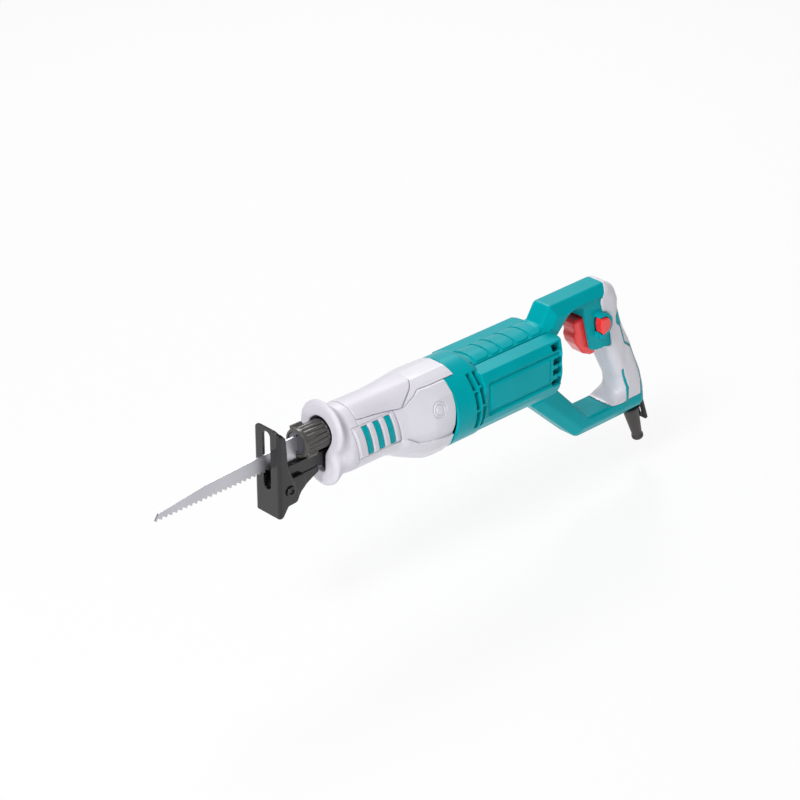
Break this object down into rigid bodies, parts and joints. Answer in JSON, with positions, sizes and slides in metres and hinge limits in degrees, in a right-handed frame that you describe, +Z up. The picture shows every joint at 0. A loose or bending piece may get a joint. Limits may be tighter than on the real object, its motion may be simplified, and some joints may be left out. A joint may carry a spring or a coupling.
{
  "type": "reciprocating saw",
  "caption": "Corded reciprocating saw with a D handle, pivoting foot, twist-collar blade clamp and a fitted wood blade.",
  "frame": {"origin": "mouth of the blade clamp on the plunger's axis, at mid stroke", "axes": "+Z up; the blade points to -X along the plunger's axis; the D handle is at +X"},
  "size_m": [0.4847, 0.0644, 0.1568],
  "materials": {
    "white_rubber": "matt soft-touch moulding",
    "white_plastic": "satin moulding",
    "teal_plastic": "satin moulding, fine grain",
    "cast_alloy": "die cast",
    "screw_steel": "zinc plated",
    "bronze": "sintered",
    "black_rubber": "matt",
    "charcoal_rubber": "matt, fine grain",
    "bearing_steel": "ground",
    "gear_steel": "machined",
    "core_steel": "laminated",
    "copper": "enamelled copper wire",
    "brass": "pressed",
    "carbon": "graphite",
    "spring_steel": "drawn wire",
    "black_plastic": "moulded",
    "lead_insulation": "PVC insulation",
    "blade_steel": "blasted, light grey",
    "collar_plastic": "glass-filled moulding",
    "black_steel": "gloss black over pressed steel",
    "red_plastic": "gloss moulding"
  },
  "bodies": {
    "housing": {"nose_boot": "white_rubber", "upper_cover": "white_plastic", "lower_cover": "white_plastic", "top_grip_pad": "white_rubber", "side_grip_left": "white_rubber", "side_grip_right": "white_rubber", "grip_inlays": "teal_plastic", "gearcase": "cast_alloy", "gearcase_lid": "cast_alloy", "gearcase_screws": "screw_steel", "front_bush": "bronze", "rear_bush": "bronze", "plunger_seal": "black_rubber", "crank_bearing_upper": "bearing_steel", "crank_bearing_lower": "bearing_steel", "housing_left": "teal_plastic", "housing_right": "teal_plastic", "rear_grip_left": "white_plastic", "rear_grip_right": "white_plastic", "housing_screws": "screw_steel", "stator_core": "core_steel", "stator_windings": "copper", "fan_baffle": "black_plastic", "front_bearing": "bearing_steel", "rear_bearing": "bearing_steel", "brush_holders": "brass", "carbon_brushes": "carbon", "brush_springs": "spring_steel", "switch_module": "black_plastic", "switch_leads": "lead_insulation", "cord_guard": "charcoal_rubber", "cord_clamp": "black_plastic", "cord_clamp_screws": "screw_steel", "key_clip": "black_rubber", "foot_screw": "screw_steel", "trigger_spring": "spring_steel", "lock_spring": "spring_steel"},
    "armature": {"armature_shaft": "bearing_steel", "armature_core": "core_steel", "armature_windings": "copper", "commutator": "copper", "cooling_fan": "black_plastic", "pinion": "gear_steel"},
    "crank": {"crank_gear": "gear_steel", "crank_shaft": "gear_steel", "crank_roller": "gear_steel"},
    "plunger": {"plunger": "gear_steel", "clamp_sleeve": "gear_steel", "clamp_pin": "gear_steel", "collar_spring": "spring_steel", "collar_ring": "spring_steel", "blade": "blade_steel"},
    "collar": {"collar": "collar_plastic"},
    "foot_bar": {"foot_bar": "black_steel", "pivot_pin": "black_steel"},
    "foot": {"foot_plate": "black_steel"},
    "trigger": {"trigger": "red_plastic"},
    "lock_button": {"lock_button": "red_plastic"}
  },
  "joints": [
    {"name": "armature_spin", "type": "hinge", "parent": "housing", "child": "armature", "pos_m": [0.18, 0, -0.0185], "axis": [1, 0, 0], "range_deg": [-407, 407]},
    {"name": "crank_spin", "type": "hinge", "parent": "housing", "child": "crank", "pos_m": [0.104, 0, -0.02], "axis": [0, 0, 1], "range_deg": [-91, 91]},
    {"name": "plunger_slide", "type": "slide", "parent": "housing", "child": "plunger", "axis": [-1, 0, 0], "range_m": [-0.01, 0.01]},
    {"name": "collar_twist", "type": "hinge", "parent": "plunger", "child": "collar", "pos_m": [0.012, 0, 0], "axis": [-1, 0, 0], "range_deg": [0, 45], "stiffness_Nm_per_rad": 0.05, "springref_deg": -11.46},
    {"name": "foot_slide", "type": "slide", "parent": "housing", "child": "foot_bar", "axis": [-1, 0, 0], "range_m": [0, 0.02]},
    {"name": "foot_tilt", "type": "hinge", "parent": "foot_bar", "child": "foot", "pos_m": [-0.0163, 0, -0.0252], "axis": [0, 1, 0], "range_deg": [-35, 18]},
    {"name": "trigger_pull", "type": "slide", "parent": "housing", "child": "trigger", "axis": [1, 0, 0], "range_m": [0, 0.006], "stiffness_N_per_m": 600, "springref_m": -0.004, "deforming": ["trigger_spring"]},
    {"name": "lock_press", "type": "slide", "parent": "housing", "child": "lock_button", "axis": [0, 1, 0], "range_m": [0, 0.0025], "stiffness_N_per_m": 500, "springref_m": -0.002, "deforming": ["lock_spring"]}
  ],
  "couplings": [
    {"joint": "crank_spin", "follows": "plunger_slide", "rad_per_m": 157.08},
    {"joint": "armature_spin", "follows": "plunger_slide", "rad_per_m": -706.86}
  ]
}
